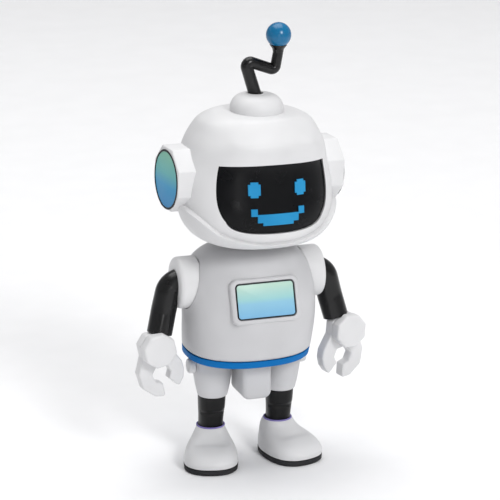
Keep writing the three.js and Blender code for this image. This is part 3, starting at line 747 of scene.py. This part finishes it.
# ---- legs ----------------------------------------------------------------------------------
def build_leg(side, s):
    """The thigh, the shin with one soft crease across its front, and the small round hip cap."""
    place = FIGURE @ shift(s * HIP_X, HIP_Y, 0)
    thigh = rounded([(0, 14.1, 0), (3.0, 14.1, 0.45), (3.6, 16.8, 3), (4, 19.4, 3), (4, 21.6, 1.5),
                     (3.5, 23.4, 1), (2, 24.6, 0.8), (0, 24.8, 0)], closed=False)
    finished(turned(thigh, place), f"thigh_{side}_look", f"{side}_leg", SHADED_WHITE)

    back = ANKLE_Y - HIP_Y
    calf = [(6.9, back, 2.42, 2.42), (9.4, back - 0.45, 2.52, 2.5), (11.4, 0.7, 2.68, 2.66),
            (15, 0.4, 2.8, 2.8)]
    crease_z, crease_width, crease_depth = 10.5, 0.45, 0.3
    rows = [section(e, 72) for e in column(calf, 80)]
    for row in rows:
        for p in row:
            if p.y < 0:
                p.y += crease_depth * math.exp(-((p.z - crease_z) / crease_width) ** 2)
    finished(skin(rows, place=place), f"shin_{side}_look", f"{side}_leg", SHIN_BLACK)

    root, radius, face = 3.9, 1.55, 5.25
    cap = rounded([(0, root, 0), (radius, root, 0), (radius, face, 0.5), (0, face + 0.05, 0)], closed=False)
    finished(turned(cap, place @ shift(0, 0, HIP_Z) @ spin("Y", s * 90)),
             f"hip_cap_{side}_look", f"{side}_leg", WHITE)


def toe_shaped(rows):
    """Wider towards the toe, with a shallow crease over the instep."""
    widening, heel_y, crease_y, crease_length, crease_depth = 0.025, -3.5, -5.6, 1.1, 0.22
    for row in rows:
        for p in row:
            p.x *= 1 - widening * (p.y - heel_y)
            if p.y < -1 and p.z > 2:
                across = 1 - smooth_step((abs(p.x) - 2) / 2.5)
                p.z -= crease_depth * math.exp(-((p.y - crease_y) / crease_length) ** 2) * across
    return rows


def build_foot(side, s):
    """The shoe with its well for the ankle, the dark sole, and the purple ring round the ankle."""
    place = FIGURE @ shift(s * ANKLE_X, ANKLE_Y, 0) @ spin("Z", s * TOE_OUT)
    entries = column(SHOE, 60)
    (low, low_y, low_w, low_d), (top, top_y, top_w, top_d) = entries[0], entries[-1]
    soft, lip = 0.2, 0.3
    foot = [(low, low_y, low_w - soft, low_d - soft)]
    well = [(top + 0.15, top_y, top_w - lip, top_d - lip), (top + 0.1, top_y, 2.75, 2.75), (6.5, 0, 2.7, 2.7)]
    shoe = skin(toe_shaped([section(e, 120) for e in foot + entries[1:] + well]), place=place)
    finished(shoe, f"shoe_{side}_look", f"{side}_foot", WHITE, sharp=50)

    sole = [(0, -3.5, 5.1, 7.4), (0.2, -3.5, 5.3, 7.6), (0.95, -3.5, 5.35, 7.65), (1.1, -3.5, 5.2, 7.5)]
    finished(skin(toe_shaped([section(e, 120) for e in sole]), place=place),
             f"sole_{side}_look", f"{side}_foot", SOLE)

    turns = [2 * math.pi * i / 16 for i in range(16)]
    cuff = [circle(2.8 + 0.15 * math.cos(t), 7.24 + 0.16 * math.sin(t), 72) for t in turns]
    finished(skin(cuff, ring=True, place=place),
             f"ankle_ring_{side}_look", f"{side}_foot", PURPLE)


build_body()
build_screen()
build_pelvis()
build_helmet()
build_chin_guard()
build_face()
build_ears()
build_antenna()
for side, s in SIDES:
    build_arm(side, s)
    build_hand(side, s)
    build_leg(side, s)
    build_foot(side, s)

KEPT = {"neck_peg": HIDDEN_WHITE, "neck_socket": HIDDEN_WHITE, "hip_axle": STEEL,
        "wrist_peg_right": BLACK, "wrist_peg_left": BLACK}
for node, material in KEPT.items():
    frame["nodes"][node].material_slots[0].material = material


# ---- stage ---------------------------------------------------------------------------------
def backdrop():
    """A pale round sweep: floor, curve and wall, in metres."""
    reach, radius, height, around = 1.0, 0.5, 1.6, 96
    turns = [math.pi / 2 * i / 24 for i in range(25)]
    line = [(reach + radius * math.sin(t), radius * (1 - math.cos(t))) for t in turns]
    line.append((reach + radius, height))
    bm = bmesh.new()
    rows = [[bm.verts.new(p) for p in circle(r, z, around)] for r, z in line]
    bm.faces.new(rows[0])
    for low, high in zip(rows, rows[1:]):
        for i in range(around):
            j = (i + 1) % around
            bm.faces.new((low[i], high[i], high[j], low[j]))
    sweep = made(bm, "backdrop")
    sweep.data.polygons.foreach_set("use_smooth", [True] * len(sweep.data.polygons))
    paper = plastic("backdrop_paper", (246, 246, 247), (248, 248, 249), (0.85, 0.95), 300.0, 0.0, 0.1)
    sweep.data.materials.append(paper)


def softbox(name, place, target, size, power):
    """A rectangular light that faces a point."""
    data = bpy.data.lights.new(name, "AREA")
    data.shape, data.size, data.size_y = "RECTANGLE", size[0], size[1]
    data.energy = power
    light = bpy.data.objects.new(name, data)
    collection.objects.link(light)
    light.location = place
    light.rotation_euler = (Vector(target) - Vector(place)).to_track_quat("-Z", "Y").to_euler()


def camera():
    """The photograph's viewing angle, aimed a little to the picture's right of the figure's middle."""
    azimuth, elevation, distance = math.radians(-18.5), math.radians(16.5), 0.57
    aside, height = 0.58, 44
    target = Vector((aside * math.cos(azimuth), aside * math.sin(azimuth) + MIDDLE_Y, height)) * MM
    back = Vector((math.sin(azimuth) * math.cos(elevation), -math.cos(azimuth) * math.cos(elevation),
                   math.sin(elevation)))
    data = bpy.data.cameras.new("camera")
    data.sensor_width, data.lens = 36, 205.2
    view = bpy.data.objects.new("camera", data)
    collection.objects.link(view)
    view.location = target + back * distance
    view.rotation_mode = "QUATERNION"
    view.rotation_quaternion = (-back).to_track_quat("-Z", "Y")
    bpy.context.scene.camera = view


def world():
    """An even white sky, shown without a film look."""
    bpy.context.scene.world = bpy.data.worlds.new("studio")
    bpy.context.scene.world.use_nodes = True
    sky = bpy.context.scene.world.node_tree.nodes["Background"]
    sky.inputs["Color"].default_value = (1, 1, 1, 1)
    sky.inputs["Strength"].default_value = 0.3
    bpy.context.scene.view_settings.view_transform = "Standard"


MIDDLE = (0, 0, 0.045)
backdrop()
softbox("key", (0.14, -0.62, 0.46), MIDDLE, (0.18, 0.22), 2.5)
softbox("top", (0.0, 0.15, 0.75), MIDDLE, (0.7, 0.7), 4.4)
softbox("glow", (-0.13, -0.58, 0.12), (0, 0, 0.06), (0.1, 0.05), 0.12)
world()
camera()
